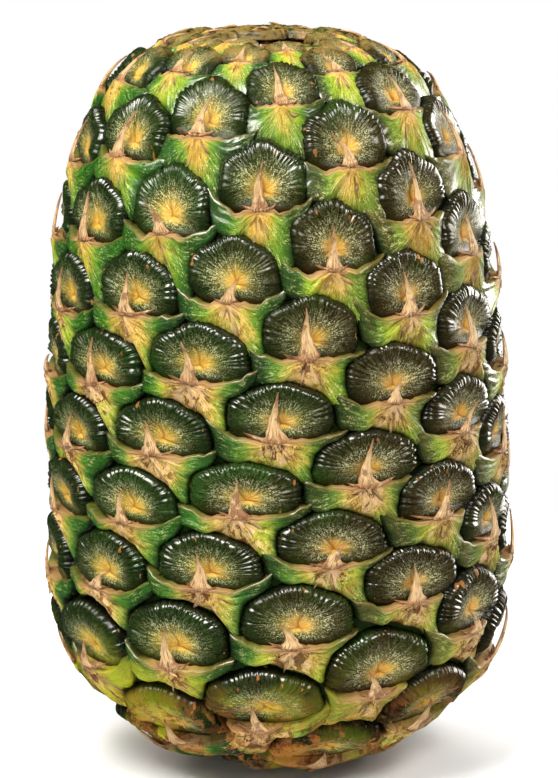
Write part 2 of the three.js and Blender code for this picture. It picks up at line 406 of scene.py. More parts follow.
def cushion_crimps(eye, crimps, angle, turn):
    """Rounded ridges with sharp valleys, uneven in width and depth."""
    rnd, shift = eye["random"], eye["shift"]
    on_top = ease(turn / 0.05) * ease((1 - turn) / 0.05) * (turn <= 1)
    drift = 1.4 * np.sin(5 * angle + shift[3])
    wave = np.pi * crimps * turn + drift + 0.8 * np.sin(11 * angle + shift[4])
    ridge = np.abs(np.sin(wave)) ** 0.6 - 0.7
    uneven = 0.3 * np.sin(3.1 * wave / np.pi + shift[5])
    strength = np.clip(0.62 + 0.75 * wobble(angle, rnd[17:20], first=3) + uneven, 0.1, 1.2)
    return ridge * strength * on_top


def cushion_creases(eye, f, angle):
    """How deep a point lies in the creases that run out from the pit."""
    rnd, shift = eye["random"], eye["shift"]
    bend = 0.25 * np.sin(7 * f + shift[7])
    total = np.zeros_like(angle)
    for (middle, spread, strength), share in zip(CREASES, rnd[6:9]):
        turned = np.angle(np.exp(1j * (angle - np.radians(middle + spread * share) - bend)))
        side = turned * (f * 11 + 0.3)
        total = total + strength * np.exp(-(side / CREASE_HALF) ** 2) * (np.abs(turned) < 1.2)
    return np.clip(total, 0, 1.2) * ease((0.72 - f) / 0.35)


def cushion_height(eye, f, angle):
    """Height above the barrel: a bowl, a crest round it and a wall outside the crest."""
    rnd, shift = eye["random"], eye["shift"]
    low = ease(-1.4 * np.sin(angle))
    crest = CUSHION_HEIGHT * (1 - 0.42 * low)
    wall = np.clip((f - CREST) / (1.0 - CREST), 0, 1)
    h = crest - (BOWL_DEPTH - 2.0 * low) * ease(1 - f / CREST)
    h = np.where(f > CREST, crest * np.sqrt(1 - wall ** 2), h)
    h = h - 14.0 * np.clip(f - 0.995, 0, 1)
    h = h - 0.5 * np.exp(-(f / 0.09) ** 2)
    h = h - CREASE_DEPTH * cushion_creases(eye, f, angle) * ease(f / 0.1)
    fine = np.sin(17 * angle + shift[9]) + 0.7 * np.sin(29 * angle + shift[2])
    h = h + 0.1 * fine * ease(f / 0.12) * ease((0.55 - f) / 0.3)
    return h + 0.34 * wobble(angle, rnd[10:13], first=1) * ease(f / 0.5)


def cushion_ring(eye, f, angle, crimp):
    u, v = cushion_uv(eye, angle, f + CRIMP_OUTWARD * crimp * ease((f - 0.8) / 0.15))
    swell = ease((f - 0.42) / 0.3) * ease((1.06 - f) / 0.1)
    return u, v, cushion_height(eye, np.full_like(angle, f), angle) + CRIMP_HEIGHT * crimp * swell


def cushion_faces(columns):
    """Rings, a seam where every third column goes on inwards, and fans to the middle and the underside."""
    start = len(OUTER_RINGS) * columns
    middle = start + len(INNER_RINGS) * (columns // 3)
    wide = closed_grid(0, len(OUTER_RINGS), columns)[::-1]
    slim = closed_grid(start, len(INNER_RINGS), columns // 3)
    faces = [quads(wide[:, ::-1]), quads(slim[:, ::-1])]
    for k in range(columns // 3):
        o0, o1, o2, o3 = wide[-1, 3 * k:3 * k + 4]
        i0, i1 = slim[0, k:k + 2]
        faces.append(np.array([[i0, o0, o1], [i0, o1, i1], [i1, o1, o2], [i1, o2, o3]]))
    faces.append(fan(slim[-1, :-1], slim[-1, 1:], middle))
    faces.append(fan(wide[0, 1:], wide[0, :-1], middle + 1))
    return np.concatenate(faces)


def cushion_patch(eye):
    crimps = int(round(CRIMPS * min(MOST_CRIMPS, max(FEWEST_CRIMPS, eye["size"]))))
    angle, turn = cushion_angles(eye, crimps)
    crimp = cushion_crimps(eye, crimps, angle, turn)
    rows = [(f, angle, crimp) for f in OUTER_RINGS]
    rows += [(f, angle[::3], crimp[::3] * INNER_CRIMP) for f in INNER_RINGS]
    rings = [cushion_ring(eye, *row) for row in rows]
    ends = ((PIT_U, CUSHION_U), (PIT_V, CUSHION_V), (PIT_H, UNDERSIDE_H))
    u, v, h = (np.concatenate([ring[i] for ring in rings] + [ends[i]]) for i in range(3))
    azimuth, s = on_barrel(eye, u, v)
    points = raised(azimuth, s, h * eye["tall"])

    rim = np.concatenate([np.full(len(a), f) for f, a, _ in rows] + [[0.0, 1.2]])
    crease = np.concatenate([cushion_creases(eye, f, a) for f, a, _ in rows] + [[1.0, 0.0]])
    turned = np.concatenate([a for _, a, _ in rows] + [[0.0, 0.0]])
    seed = np.full(len(turned), 10 * eye["random"][13] + eye["index"])
    ray = np.stack([np.cos(turned), np.sin(turned), seed], axis=-1)
    return points, cushion_faces(len(angle)), {"rim": rim, "ray": ray, "aside": u, "crease": crease}


# Bracts

BRACT_COLUMNS = 61
BRACT_STEPS = np.array([0, 0.03, 0.07, 0.12, 0.18, 0.25, 0.33, 0.42, 0.51, 0.6, 0.69, 0.78, 0.86, 0.925,
                        0.955, 0.98, 1.0])
REACH_STEPS = 62
SMOOTHING = np.array([1, 2, 3, 2, 1]) / 9
FOLDS = 4
FOLD_DEPTH = 0.45

# The rim behind the free upper edge: how far up each row stands and how far down it drops from that edge.
LIP_ROWS = ((0.28, 0.25), (0.42, 1.0), (0.55, None))
LIP_FOOT_H = -1.5
UNDER_BRACT = -3.0


def lip_rise(eye, u):
    """How far the bract's upper edge rises towards the ends of its arms, after a slight dip."""
    random, shift = eye["random"], eye["shift"]
    rise = np.where(u < 0, ARM_RISE_LEFT + 4 * (random[12] - 0.5), ARM_RISE_RIGHT + 4 * (random[13] - 0.5))
    dip = np.where(u < 0, 1.1 * random[18], 0.7 * random[19]) * np.exp(-((np.abs(u) - 7.5) / 2.6) ** 2)
    dip = dip - 0.22 * np.sin(0.9 * u + shift[20]) * ease((np.abs(u) - 2) / 3)
    return rise * np.clip((np.abs(u) - ARM_STRAIGHT) / (ARM_REACH - ARM_STRAIGHT - 0.5), 0, 1.1) ** 1.7 - dip


def bract_reach(eye, direction):
    """How far the bract runs from its apex in each direction, at most to the cushions round it."""
    random = eye["random"]
    steps = np.linspace(0.5, ARM_REACH + 2.0, REACH_STEPS)
    u = steps[None, :] * np.cos(direction)[:, None]
    v = steps[None, :] * np.sin(direction)[:, None] + lip_rise(eye, u)
    azimuth, s = on_barrel(eye, u, v)
    overlap = BRACT_OVERLAP - 0.1 * float(ease((eye["point"][2] - 110) / 50))
    blocked = np.zeros(u.shape, bool)
    for other in eye["near"]:
        blocked |= cushion_f(other, azimuth, s) < overlap
    first = np.where(blocked.any(axis=1), blocked.argmax(axis=1), len(steps) - 1)
    from_arm = np.minimum(direction - math.pi, 2 * math.pi - direction)
    arm = np.where(direction < 1.5 * math.pi, 0.8 + 2.4 * random[10], 0.8 + 2.4 * random[11])
    star = 17.7 + arm * np.exp(-(from_arm / 0.14) ** 2) - 2.0 * np.exp(-((direction - KEEL_ANGLE) / 0.4) ** 2)
    reach = np.minimum(steps[first], star * (0.95 + 0.08 * random[14]))
    return np.convolve(np.pad(reach, 2, mode="edge"), SMOOTHING, mode="valid")


def bract_height(eye, D, T, far):
    """Height of a bract's face in direction D at a share T of its reach, without its rounded edge."""
    rnd, shift = eye["random"], eye["shift"]
    from_arm = np.minimum(D - math.pi, 2 * math.pi - D)
    from_keel = np.angle(np.exp(1j * (D - KEEL_ANGLE)))
    edge = 2.5 + 1.1 * np.exp(-(from_arm / 0.6) ** 2) - 0.4 * np.exp(-(from_keel / 0.3) ** 2)
    h = BRACT_HEIGHT - (BRACT_HEIGHT - edge) * T ** 1.1
    keel = 0.6 * np.exp(-(from_keel * np.maximum(far, 1.0) / 1.4) ** 2)
    h = h + keel * ease(T / 0.1) * ease((1.05 - T) / 0.5)
    inner = ease(T / 0.15) * ease((0.97 - T) / 0.2)
    swirl = 27 * D + 3 * np.sin(5 * D + 6 * rnd[15])
    h = h + 0.15 * np.sin(swirl) * inner + 0.1 * np.sin(1.7 * swirl + 4 * T + 6 * rnd[2]) * inner
    neck = ease((far - 9) / 4) * np.exp(-(from_arm / 0.5) ** 2) * ease((0.98 - T) / 0.1)
    h = h + 0.28 * np.sin(4.8 * far + 5 * rnd[1] + 2 * np.sin(3 * D)) * neck
    return h + 0.3 * np.sin(7 * D + shift[16]) * np.sin(3.3 * T + shift[17]) * ease(T / 0.3)


def bract_folds(eye, D, T, far):
    """Cracks that run out from the tip's root, from 0 to 1."""
    rnd, shift = eye["random"], eye["shift"]
    fold = np.zeros_like(D)
    for k in range(FOLDS):
        centre = math.radians(200 + 130 * rnd[(3 + 5 * k) % RANDOMS])
        aside = (D - centre - 0.2 * np.sin(4 * T + shift[k])) * (far + 0.3)
        from_t = 0.05 + 0.25 * rnd[(11 + k) % RANDOMS]
        to_t = from_t + 0.15 + 0.35 * rnd[(7 + 3 * k) % RANDOMS]
        fold = fold + np.exp(-(aside / 0.4) ** 2) * ease((T - from_t) / 0.08) * ease((to_t - T) / 0.12)
    return np.clip(fold, 0, 1)


def used_only(points, faces, values):
    """Drops points that no face uses."""
    used, faces = np.unique(faces, return_inverse=True)
    return points[used], faces.reshape(-1, 3), {key: value[used] for key, value in values.items()}


def bract_patch(eye):
    rnd, shift = eye["random"], eye["shift"]
    spread = np.linspace(0, 1, BRACT_COLUMNS)
    spread = 0.5 - 0.5 * np.sign(0.5 - spread) * np.abs(1 - 2 * spread) ** 0.85
    direction = math.pi + math.pi * spread
    reach = bract_reach(eye, direction)
    eye["reach"] = direction, reach
    T, D = np.meshgrid(BRACT_STEPS, direction, indexing="ij")
    far = reach[None, :] * T
    u = far * np.cos(D)
    v = far * np.sin(D) + lip_rise(eye, u)
    fold = bract_folds(eye, D, T, far)
    h = bract_height(eye, D, T, far) - FOLD_DEPTH * fold
    round_off = np.clip((T - 0.93) / 0.07, 0, 1)
    h = h - 0.4 * ease((T - 0.8) / 0.2)
    h = h * np.sqrt(np.clip(1 - round_off ** 2.4, 0, 1)) - 1.3 * ease((T - 0.965) / 0.035)

    # The free upper edge: a thin lip, slightly curled up, whose rim then dives behind the cushion.
    from_lip = np.minimum(D - math.pi, 2 * math.pi - D) * far
    curl = 0.2 * np.exp(-(from_lip / 0.4) ** 2) * ease((11 - np.abs(u)) / 6)
    h = h + curl * ease(T / 0.05) * ease((0.9 - T) / 0.2)
    uneven = 0.16 * np.sin(2.1 * u + shift[18]) + 0.1 * np.sin(5.3 * u + shift[19])
    v = v + uneven * np.exp(-(from_lip / 0.8) ** 2) * ease(T / 0.1)

    def behind(column, up, drop):
        edge = h[:, column]
        level = edge - drop if drop else np.full(len(edge), LIP_FOOT_H)
        level = np.where(BRACT_STEPS > 0.9, np.minimum(level, edge - 0.3), level)
        return u[:, column], v[:, column] + up, level

    grid = [behind(0, *row) for row in reversed(LIP_ROWS)]
    grid += [(u[:, k], v[:, k], h[:, k]) for k in range(BRACT_COLUMNS)]
    grid += [behind(-1, *row) for row in LIP_ROWS]
    gu, gv, gh = (np.stack([column[i] for column in grid], axis=1) for i in range(3))
    azimuth, s = on_barrel(eye, gu, gv)
    base_azimuth, base_s = on_barrel(eye, np.array([0.0]), np.array([UNDER_BRACT]))
    points = np.concatenate([
        raised(azimuth, s, gh * eye["tall"]).reshape(-1, 3),
        raised(base_azimuth, base_s, np.array([UNDER_BRACT])),
    ])

    # At the apex the left and right columns meet in shared points.
    side = len(LIP_ROWS)
    index = np.arange(gu.size).reshape(gu.shape)
    index[0, side:-side] = index[0, side]
    index[0, -side:] = index[0, side - 1::-1]
    loop = np.concatenate([index[:, 0], index[-1, 1:], index[-2::-1, -1]])
    faces = np.concatenate([quads(index), fan(loop[1:], loop[:-1], gu.size)])

    beside = ((0, 0), (side, side))
    gd = np.pad(D, beside, mode="edge")
    seed = np.full(gd.shape, 10 * rnd[20] + eye["index"])
    ray = np.stack([np.cos(gd), np.sin(gd), seed], axis=-1).reshape(-1, 3)
    return used_only(points, faces, {
        "reach": np.append(np.repeat(BRACT_STEPS[:, None], len(grid), axis=1), 1.0),
        "lip": np.append(np.pad(from_lip, beside), 9.0),
        "side": np.append(gu, 0.0),
        "far": np.append(np.hypot(gu, gv - lip_rise(eye, gu)), 0.0),
        "fold": np.append(np.pad(fold, beside), 0.0),
        "ray": np.concatenate([ray, [[0, 0, 0]]]),
    })


# Tips

TIP_STEPS = (-0.06, 0, 0.035, 0.08, 0.14, 0.21, 0.3, 0.4, 0.5, 0.6, 0.7, 0.8, 0.89, 0.96, 1.0)
TIP_SIDES = 10
BENT_SHARE = 0.16
FLAKE_STEPS = (0, 0.1, 0.3, 0.55, 0.8, 1.0)
FLAKE_SIDES = 6
FLAKES = 2


def blade(eye, u, v, h, along, aside, seed):
    """The skin of a thin blade, with its values for the material; the last two points are its ends."""
    azimuth, s = on_barrel(eye, u, v)
    points, faces = tube(raised(azimuth, s, h * eye["tall"]))
    return points, faces, {
        "along": [*along.ravel(), max(0.0, along[0, 0]), 1],
        "aside": [*aside.ravel(), 0, 0],
        "seed": np.full(len(points), seed),
    }


def tip_patch(eye):
    rnd, shift = eye["random"], eye["shift"]
    bent = rnd[21] < BENT_SHARE
    foot = float(ease((34 - eye["point"][2]) / 14))
    length = (8.5 + 4.0 * rnd[22]) * (0.6 if bent else 1.0) * (1 - 0.3 * foot)
    lean = (rnd[23] - 0.5) * (15 if bent else 5.5)
    A, R = ring_grid(TIP_STEPS, TIP_SIDES)
    x = np.cos(R)
    clear = np.clip(A, 0, 1)
    at_root = np.exp(-clear / 0.03)
    ledge = np.where(x > 0, 5.5 * rnd[10] ** 2, 5.5 * rnd[11] ** 2) * at_root
    half = (2.1 + 0.7 * rnd[9]) * (1 - clear) ** 1.35 + 1.0 * np.exp(-clear / 0.08) + ledge + 0.14
    half = np.where(A < 0, half * 0.8, half)
    ragged = 1 + 0.14 * np.sin(9 * clear + shift[7]) * np.sign(x)
    ragged = ragged + 0.1 * np.sin(25 * clear + 4 * x + rnd[2])
    u = lean * clear ** 2 + 0.6 * np.sin(4 * clear + shift[5]) * clear + half * x * ragged
    v = length * A + 0.25 * np.abs(x) * half * np.exp(-clear / 0.05)

    # The blade leans over the bowl and its end lies on the cushion's crest or stands a little off it.
    thick = 0.36 * (1 - clear) ** 0.5 + 0.14
    off = (0.1 + 0.7 * rnd[3] * ease(rnd[4] / 0.5)) * (1 - foot)
    h = BRACT_HEIGHT - 0.15 + off * np.sin(np.pi * 0.62 * clear) - (0.5 + 0.5 * foot) * clear ** 2
    h = h + thick * np.sin(R) + 0.45 * (1 - np.abs(x)) * (1 - clear) ** 0.6
    h = h + 0.16 * np.sin(3 * x * np.pi + shift[6]) * (1 - clear)
    h = h - 0.14 * np.abs(x) * half * np.exp(-clear / 0.06)
    return blade(eye, u, v, h, A, x, 10 * rnd[8] + eye["index"])


def flake_patch(eye, k):
    """A thin dry sliver that peels off the bract below the tip's root."""
    turn, start, length, wide, skew, lift = (eye["random"][(7 * k + 4 * j + 1) % RANDOMS] for j in range(6))
    A, R = ring_grid(FLAKE_STEPS, FLAKE_SIDES)
    far = 1.5 + 3.5 * start + (1.6 + 3.0 * length) * A
    half = (0.2 + 0.45 * wide ** 2) * np.sin(np.pi * (0.06 + 0.88 * A)) ** 0.8
    D = np.radians(215 + 115 * turn) + 0.5 * (skew - 0.5) * A + half * np.cos(R) / far
    T = far / np.interp(D, *eye["reach"])
    h = bract_height(eye, D, T, far) + 0.05 + 0.13 * np.sin(R) + 0.5 * lift * A ** 2
    u = far * np.cos(D)
    v = far * np.sin(D) + lip_rise(eye, u)
    return blade(eye, u, v, h, 0.3 + 0.7 * A, np.cos(R), 10 * lift + k + eye["index"])


# Materials

class Nodes:
    """Short calls for making a material's nodes."""

    def __init__(self, name):
        self.material = bpy.data.materials.new(name)
        self.material.use_nodes = True
        self.tree = self.material.node_tree
        self.shader = self.tree.nodes["Principled BSDF"]

    def put(self, socket, value):
        if isinstance(value, bpy.types.NodeSocket):
            self.tree.links.new(value, socket)
        elif value is not None:
            socket.default_value = value

    def node(self, kind, inputs=(), **settings):
        node = self.tree.nodes.new(kind)
        for key, value in settings.items():
            setattr(node, key, value)
        for key, value in dict(inputs).items():
            self.put(node.inputs[key], value)
        return node

    def attribute(self, name, output="Fac"):
        return self.node("ShaderNodeAttribute", attribute_name=name).outputs[output]

    def place(self):
        return self.node("ShaderNodeTexCoord").outputs["Object"]

    def split(self, vector):
        return self.node("ShaderNodeSeparateXYZ", {"Vector": vector}).outputs

    def join(self, x, y, z):
        return self.node("ShaderNodeCombineXYZ", {"X": x, "Y": y, "Z": z}).outputs["Vector"]

    def math(self, operation, a, b=None, c=None):
        node = self.node("ShaderNodeMath", operation=operation)
        for socket, value in zip(node.inputs, (a, b, c)):
            self.put(socket, value)
        return node.outputs["Value"]

    def times(self, product, *factors):
        for factor in factors:
            product = self.math("MULTIPLY", product, factor)
        return product

    def scaled(self, vector, factor):
        node = self.node("ShaderNodeVectorMath", operation="MULTIPLY")
        self.put(node.inputs[0], vector)
        self.put(node.inputs[1], factor)
        return node.outputs["Vector"]

    def noise(self, vector, scale, detail=3.0, roughness=0.55, distortion=0.0):
        return self.node("ShaderNodeTexNoise", {"Vector": vector, "Scale": scale, "Detail": detail,
                         "Roughness": roughness, "Distortion": distortion}).outputs["Fac"]

    def span(self, value, low, high, to_low=0.0, to_high=1.0):
        node = self.node("ShaderNodeMapRange", {"Value": value, "From Min": low, "From Max": high,
                         "To Min": to_low, "To Max": to_high}, interpolation_type="SMOOTHSTEP")
        return node.outputs["Result"]

    def ramp(self, value, stops):
        node = self.node("ShaderNodeValToRGB", {"Fac": value})
        ramp = node.color_ramp
        while len(ramp.elements) < len(stops):
            ramp.elements.new(0.5)
        for element, (position, colour) in zip(ramp.elements, stops):
            element.position = position
            element.color = (*colour, 1)
        return node.outputs["Color"]

    def mix(self, factor, a, b):
        node = self.node("ShaderNodeMix", data_type="RGBA")
        for name, value in (("Factor_Float", factor), ("A_Color", a), ("B_Color", b)):
            socket = next(s for s in node.inputs if s.identifier == name)
            self.put(socket, (*value, 1) if isinstance(value, tuple) else value)
        return next(s for s in node.outputs if s.identifier == "Result_Color")

    def tint(self, base, display, *factors):
        """Mixes in a display colour by the product of the factors."""
        return self.mix(self.times(*factors), base, srgb(*display))

    def bump(self, height, strength, distance, normal=None):
        return self.node("ShaderNodeBump", {"Height": height, "Strength": strength, "Distance": distance,
                         "Normal": normal}).outputs["Normal"]

    def finish(self, colour, roughness, normal=None, coat=None, **constants):
        inputs = {"Base_Color": colour, "Roughness": roughness, "Normal": normal, "Coat_Weight": coat}
        for key, value in {**inputs, **constants}.items():
            self.put(self.shader.inputs[key.replace("_", " ")], value)
        return self.material


def srgb(r, g, b):
    """A linear colour from 0-255 display values."""
    def one(c):
        c /= 255
        return c / 12.92 if c <= 0.04045 else ((c + 0.055) / 1.055) ** 2.4
    return one(r), one(g), one(b)


def radial(n, ray, distance, turns, outward):
    """Coordinates for a texture that runs out along the rays from an eye's middle."""
    x, y, z = n.split(ray)
    return n.join(n.times(x, turns), n.times(y, turns),
                  n.math("MULTIPLY_ADD", distance, outward, n.times(z, 3.7)))


def shifted(n, value, noise, amount):
    """A value moved up and down by a noise round 0.5."""
    return n.math("MULTIPLY_ADD", n.math("SUBTRACT", noise, 0.5), amount, value)


def greys(*stops):
    return [(position, (level,) * 3) for position, level in stops]


def colours(*stops):
    return [(position, srgb(*display)) for position, *display in stops]


def ripe_end(n, base, place, amount):
    """Patches of yellow, tan and brown near the stem."""
    x, _, z = n.split(place)
    patch = n.span(n.noise(place, 44.0, 4, 0.6, 0.4), 0.47, 0.57)
    left = n.span(x, 0.02, -0.03, 0.3, 1.0)
    base = n.tint(base, (190, 190, 26), n.span(z, 0.05, 0.022), patch, left, amount, 0.85)
    tan = n.span(n.noise(place, 85.0, 5, 0.7, 0.6), 0.49, 0.54)
    base = n.tint(base, (176, 112, 52), n.span(z, 0.036, 0.008), tan, 0.75)
    scab = n.span(n.noise(place, 240.0, 5, 0.8, 0.8), 0.53, 0.57)
    return n.tint(base, (92, 46, 24), n.span(z, 0.042, 0.015), scab, 0.75)


def cushion_material():
    n = Nodes("cushion")
    rim, aside, crease = (n.attribute(name) for name in ("rim", "aside", "crease"))
    ray, place = n.attribute("ray", "Vector"), n.place()
    x, _, z = n.split(place)
    upward = n.split(ray)[1]
    patchy = n.noise(place, 170.0, 3)
    streak = n.noise(radial(n, ray, rim, 6.0, 2.0), 1.0, 3, 0.6)
    t = shifted(n, shifted(n, rim, patchy, 0.26), streak, 0.16)
    # Both ramps end near black at the outline: partly the wall's own wet dark green, partly painted shade of
    # the groove.
    green = n.ramp(t, colours(
        (0.00, 124, 66, 28), (0.07, 200, 142, 60), (0.18, 196, 164, 76), (0.28, 128, 124, 50),
        (0.40, 74, 84, 28), (0.56, 44, 60, 18), (0.70, 28, 46, 10), (0.86, 18, 36, 8), (0.97, 8, 14, 3)))
    brown = n.ramp(t, colours(
        (0.00, 124, 62, 26), (0.07, 198, 132, 54), (0.18, 190, 150, 72), (0.28, 122, 106, 54),
        (0.40, 76, 68, 34), (0.56, 54, 48, 22), (0.70, 46, 38, 14), (0.86, 32, 29, 9), (0.97, 11, 11, 4)))
    rightward = n.math("MULTIPLY_ADD", n.noise(place, 24.0, 2), 1.2, n.times(x, 13.0))
    base = n.mix(n.span(rightward, 0.25, 1.05), green, brown)
    base = n.tint(base, (34, 76, 14), n.span(n.noise(place, 45.0, 2), 0.52, 0.7), n.span(rim, 0.35, 0.7), 0.5)
    streaked = shifted(n, rim, streak, 0.3)
    base = n.tint(base, (232, 176, 54), n.span(streaked, 0.34, 0.08), n.span(aside, -1.5, 3.5), 0.6)
    base = n.tint(base, (216, 172, 44), n.span(streaked, 0.52, 0.15), n.span(x, 0.015, -0.045), 0.5)

    # Fine flecks that run out from the middle: pale on the bowl, dark towards the rim.
    grain = n.noise(radial(n, ray, rim, 26.0, 8.0), 1.0, 3, 0.7)
    stipple = n.noise(place, 2600.0, 2, 0.6)
    fibre = shifted(n, grain, stipple, 0.8)
    bowl = n.ramp(rim, greys((0.0, 0.4), (0.15, 0.7), (0.32, 1.0), (0.48, 0.8), (0.64, 0.2), (0.78, 0.04)))
    speckled = n.span(n.noise(place, 120.0, 2), 0.3, 0.6, 0.45, 1.0)
    base = n.tint(base, (216, 216, 172), n.span(fibre, 0.5, 0.67), bowl, speckled, 0.85)
    base = n.tint(base, (26, 22, 6), n.span(fibre, 0.47, 0.34), n.span(rim, 0.05, 0.4), 0.75)

    # The stem's end, the creases, painted shade down the wall into the groove, a dark crack with painted
    # contact shadow above the lip, the crown's end and dry flecks.
    base = ripe_end(n, base, place, n.span(rim, 1.0, 0.5, 0.15, 0.6))
    base = n.tint(base, (98, 58, 28), n.span(shifted(n, crease, stipple, 0.5), 0.3, 0.9), 0.5)
    # Painted shade: the wall goes near black as it drops into the groove.
    base = n.tint(base, (8, 14, 5), n.span(rim, 0.9, 1.0))
    # A dark crack along the lip, with painted contact shadow where the cushion meets the bract below.
    base = n.tint(base, (46, 28, 10), n.span(n.times(rim, upward), -0.46, -0.7), 0.7)
    dry = n.span(n.noise(place, 260.0, 4, 0.7), 0.35, 0.6)
    base = n.tint(base, (142, 118, 62), n.span(z, 0.192, 0.1955), dry, 0.7)
    flecks = n.noise(n.scaled(place, (1.0, 1.0, 0.45)), 420.0, 1)
    base = n.tint(base, (158, 104, 54), n.span(flecks, 0.715, 0.735), n.span(rim, 0.6, 0.8), 0.8)

    rough = n.ramp(shifted(n, rim, patchy, 0.3),
                   greys((0.0, 0.65), (0.42, 0.6), (0.58, 0.34), (0.72, 0.18), (1.0, 0.22)))
    rough = shifted(n, rough, stipple, 0.3)
    bump = n.bump(grain, 0.3, 0.0005, n.bump(stipple, 0.25, 0.0003))
    wax = n.ramp(shifted(n, rim, patchy, 0.2),
                 greys((0.0, 0.12), (0.45, 0.14), (0.6, 0.5), (0.7, 1.0), (1.0, 0.8)))
    wax = n.times(
        wax, n.span(upward, -0.2, 0.25, 0.1, 1.0), n.span(z, 0.02, 0.045, 0.2, 1.0),
        n.span(n.noise(place, 110.0, 2), 0.38, 0.58, 0.15, 1.0), n.span(z, 0.191, 0.182, 0.1, 1.0))
    return n.finish(base, rough, bump, wax, Specular_IOR_Level=0.1, Coat_Roughness=0.15)


def bract_material():
    n = Nodes("bract")
    reach, lip, side, far, fold = (n.attribute(name) for name in ("reach", "lip", "side", "far", "fold"))
    ray, place = n.attribute("ray", "Vector"), n.place()
    x, _, z = n.split(place)
    ray_x, _, seed = n.split(ray)
    sideways = n.math("ABSOLUTE", ray_x)
    high = n.span(z, 0.1, 0.15)
    patchy = n.noise(place, 130.0, 3)
    streak = n.noise(radial(n, ray, far, 6.0, 0.12), 1.0, 4, 0.65)
    each = n.node("ShaderNodeTexWhiteNoise", {"W": seed}, noise_dimensions="1D").outputs["Value"]

    # From dry tan at the root through yellow to dark green, sooner towards the arms and near the crown.
    armward = n.times(n.math("POWER", sideways, 3.0), 0.03)
    t = n.times(far, n.math("ADD", armward, 0.048))
    t = shifted(n, shifted(n, shifted(n, t, patchy, 0.5), streak, 0.5), each, 0.24)
    t = n.math("MULTIPLY_ADD", high, 0.15, t)
    base = n.ramp(t, colours(
        (0.00, 230, 190, 140), (0.16, 218, 176, 104), (0.34, 206, 172, 76), (0.50, 160, 156, 54),
        (0.64, 90, 128, 36), (0.80, 46, 92, 24), (1.00, 22, 52, 14)))
    base = n.tint(base, (224, 172, 46), n.span(t, 0.55, 0.25), high, 0.4)
    base = n.tint(base, (112, 148, 30), n.span(t, 0.35, 0.6), n.span(t, 0.95, 0.68), high, 0.5)
    leftward = n.math("MULTIPLY_ADD", n.noise(place, 24.0, 2), 1.3, n.times(x, -9.0))
    base = n.tint(base, (44, 112, 20), n.span(leftward, 0.5, 1.2), n.span(t, 0.35, 0.7), 0.6)
    rightward = n.math("MULTIPLY_ADD", n.noise(place, 21.0, 2), 1.2, n.times(x, 13.0))
    base = n.tint(base, (122, 104, 52), n.span(rightward, 0.5, 1.3), 0.4)
    vivid = n.span(n.noise(place, 52.0, 2), 0.5, 0.62)
    base = n.tint(base, (158, 184, 34), vivid, n.span(t, 0.9, 0.5), n.span(far, 2.0, 6.0), 0.6)

    # Fibres that run out from the root: pale threads and dark threads, then painted shade on the edge all
    # round.
    grain = n.noise(radial(n, ray, far, 27.0, 0.5), 1.0, 3, 0.7)
    stipple = n.noise(place, 2300.0, 2, 0.6)
    fibre = shifted(n, grain, stipple, 0.5)
    threads = n.span(n.noise(place, 200.0, 2), 0.3, 0.6)
    base = n.tint(base, (226, 222, 150), n.span(fibre, 0.52, 0.68), threads, n.span(reach, 1.0, 0.7),
                  n.span(sideways, 0.75, 1.0, 0.75, 0.4))
    base = n.tint(base, (44, 52, 14), n.span(fibre, 0.47, 0.33), n.span(far, 1.5, 6.0, 0.3, 0.75))
    inside = n.math("MAXIMUM", n.span(lip, 0.0, 2.5), n.span(far, 13.5, 17.5))
    # Painted shade: the bract darkens towards its edge, as if occluded by the cushions round it.
    painted_edge_shade = n.span(shifted(n, reach, streak, 0.4), 0.74, 1.02)
    base = n.tint(base, (14, 36, 8), painted_edge_shade, inside, n.span(sideways, 0.2, 0.75, 0.45, 1.0), 0.8)

    # Dry brown scabs below the tip, the dry edge of the lip, the folds and painted shade where the bract dips
    # into the groove.
    scab = n.noise(n.scaled(place, (1.0, 1.0, 0.6)), 330.0, 4, 0.8, 0.6)
    dried = n.times(n.span(t, 0.52, 0.22), n.span(high, 0.0, 1.0, 1.0, 0.45))
    base = n.tint(base, (100, 46, 26), n.span(scab, 0.51, 0.555), dried, 0.9)
    base = n.tint(base, (228, 186, 150), n.span(scab, 0.47, 0.42), dried, 0.75)
    near_root = n.span(shifted(n, n.math("ABSOLUTE", side), patchy, 7.0), 11.0, 4.0)
    base = n.tint(base, (210, 160, 112), near_root, n.span(shifted(n, lip, stipple, 0.6), 0.9, 0.2))
    base = n.tint(base, (104, 88, 42), n.span(lip, 0.45, 0.12), n.span(reach, 1.0, 0.9), 0.6)
    base = n.tint(base, (92, 58, 34), n.span(fold, 0.3, 1.0), 0.5)
    base = ripe_end(n, base, place, 1.0)
    # Painted shade: the bract's last rim goes near black in the groove.
    base = n.tint(base, (12, 20, 7), n.span(reach, 0.88, 0.98), 0.85)

    rough = n.ramp(n.math("DIVIDE", far, 17.0), greys((0.0, 0.62), (0.35, 0.5), (0.7, 0.32), (1.0, 0.2)))
    rough = shifted(n, rough, stipple, 0.35)
    bump = n.bump(grain, 0.5, 0.0005, n.bump(stipple, 0.4, 0.0004))
    bump = n.bump(n.times(scab, dried), 0.8, 0.0012, n.bump(streak, 0.5, 0.0008, bump))
    wax = n.span(shifted(n, far, patchy, 6.0), 6.0, 15.0, 0.05, 0.9)
    return n.finish(base, rough, bump, wax, Specular_IOR_Level=0.12, Coat_Roughness=0.2)


